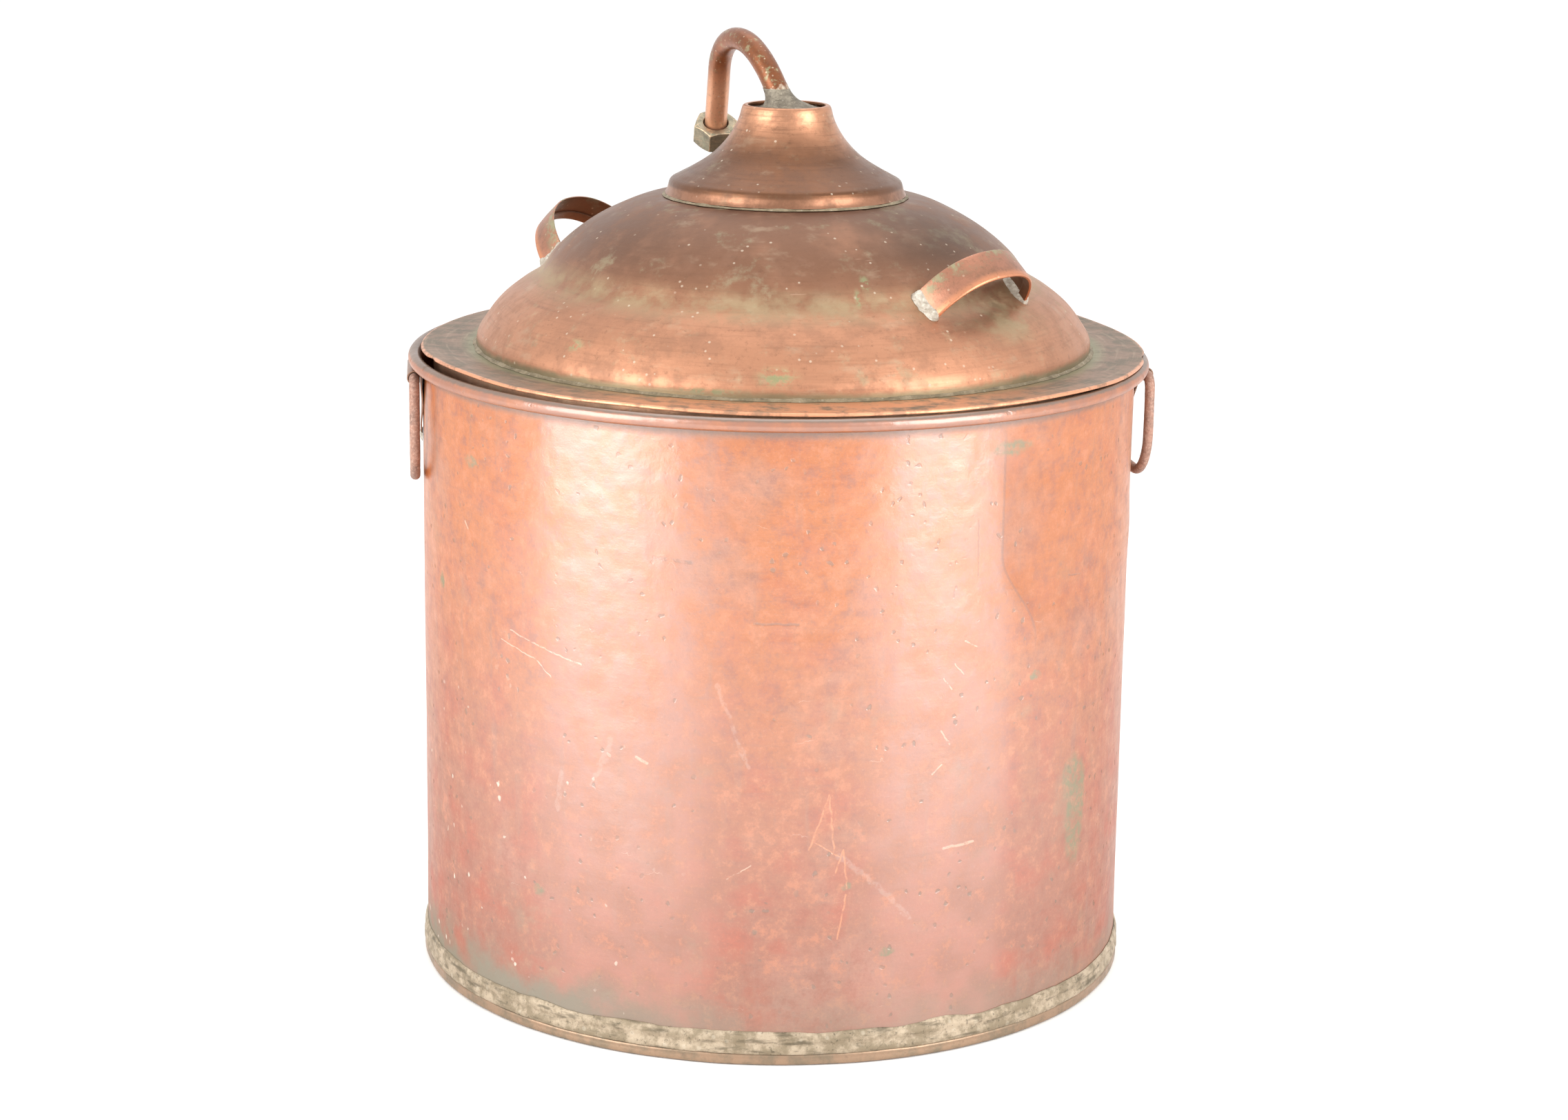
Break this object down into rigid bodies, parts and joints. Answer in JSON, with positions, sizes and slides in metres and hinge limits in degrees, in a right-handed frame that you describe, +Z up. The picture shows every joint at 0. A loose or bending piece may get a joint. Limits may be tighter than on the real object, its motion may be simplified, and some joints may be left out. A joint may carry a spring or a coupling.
{
  "type": "copper alembic still",
  "caption": "Cylindrical copper pot with rolled rim and swinging ring handles under a lift-off domed head with strap handles and a swan-neck outlet ending in a union nut.",
  "frame": {"origin": "centre of the pot's flat underside", "axes": "+Z up along the pot's axis; -Y towards the front; the ring handles lie near +X and -X; the swan neck comes down towards +Y and -X"},
  "size_m": [0.4741, 0.4678, 0.5921],
  "materials": {
    "copper_wall": "worn satin copper, orange and salmon",
    "copper_dusty": "dull brown copper with verdigris",
    "copper_dark": "dark oxidised copper",
    "copper_bright": "brushed copper, slightly dulled",
    "copper_pipe": "copper tube with brown patina",
    "brass": "brown tarnished brass",
    "iron": "rusty brown iron rod",
    "solder": "wiped tin-lead solder, dull cream-grey",
    "solder_white": "pale tin solder",
    "solder_dark": "grey weathered solder"
  },
  "bodies": {
    "pot": {"pot_wall": "copper_wall", "rim_wire": "iron", "bottom_pan": "copper_wall", "bottom_solder": "solder", "seam_solder": "solder", "right_ring_clip": "copper_dark", "left_ring_clip": "copper_dark", "right_clip_solder": "solder", "left_clip_solder": "solder"},
    "right_ring": {"right_ring": "iron"},
    "left_ring": {"left_ring": "iron"},
    "still_head": {"lid_flange": "copper_dark", "lid_skirt": "copper_dark", "dome": "copper_dusty", "dome_base_solder": "solder", "neck_cone": "copper_bright", "neck_solder": "solder", "cap_plate": "solder_dark", "cap_solder": "solder_dark", "swan_neck": "copper_pipe", "pipe_ferrule": "brass", "right_strap": "copper_dark", "left_strap": "copper_dark", "right_strap_solder_front": "solder_white", "right_strap_solder_rear": "solder_white", "left_strap_solder_front": "solder_white", "left_strap_solder_rear": "solder_white"},
    "union_nut": {"union_nut": "brass"}
  },
  "joints": [
    {"name": "lid_lift", "type": "slide", "parent": "pot", "child": "still_head", "axis": [0, 0, 1], "range_m": [0, 0.3]},
    {"name": "right_ring_swing", "type": "hinge", "parent": "pot", "child": "right_ring", "pos_m": [0.22874, 0.02404, 0.3806], "axis": [0.1736, -0.9848, 0], "range_deg": [0, 120]},
    {"name": "left_ring_swing", "type": "hinge", "parent": "pot", "child": "left_ring", "pos_m": [-0.22874, -0.02404, 0.3806], "axis": [-0.1045, 0.9945, 0], "range_deg": [0, 120]},
    {"name": "nut_turn", "type": "hinge", "parent": "still_head", "child": "union_nut", "pos_m": [-0.04368, 0.10338, 0.51789], "axis": [0.0551, -0.5322, 0.8448], "continuous": true}
  ]
}
